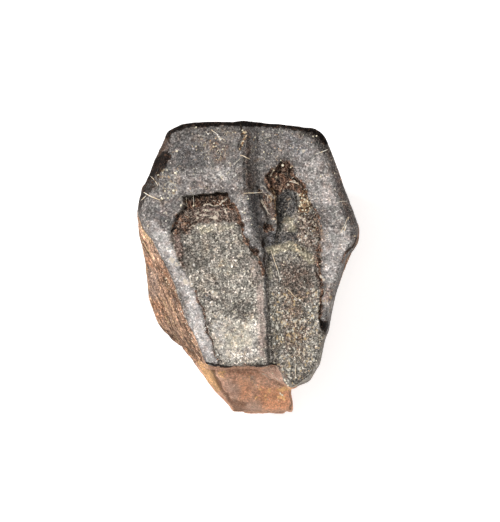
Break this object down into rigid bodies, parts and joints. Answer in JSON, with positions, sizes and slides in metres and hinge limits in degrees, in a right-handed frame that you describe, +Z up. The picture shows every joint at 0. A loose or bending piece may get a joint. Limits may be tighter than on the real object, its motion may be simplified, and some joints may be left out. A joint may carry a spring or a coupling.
{
  "type": "fossil hadrosaur tooth",
  "caption": "Worn fossil dinosaur tooth with a ridged enamel face, spalled hollows, a worn biting facet and a broken root stub, lying on its back.",
  "frame": {"origin": "middle of the bounding box at the level of the surface that the tooth lies on", "axes": "+Y from the root to the worn biting end, +Z up out of the enamel face, +X to the right of the face"},
  "size_m": [0.0122, 0.0162, 0.0085],
  "materials": {
    "fossil_tooth": "satin mineralised enamel, mottled grey and brown, over orange-brown dentine"
  },
  "bodies": {
    "root": {"tooth": "fossil_tooth"}
  },
  "joints": []
}
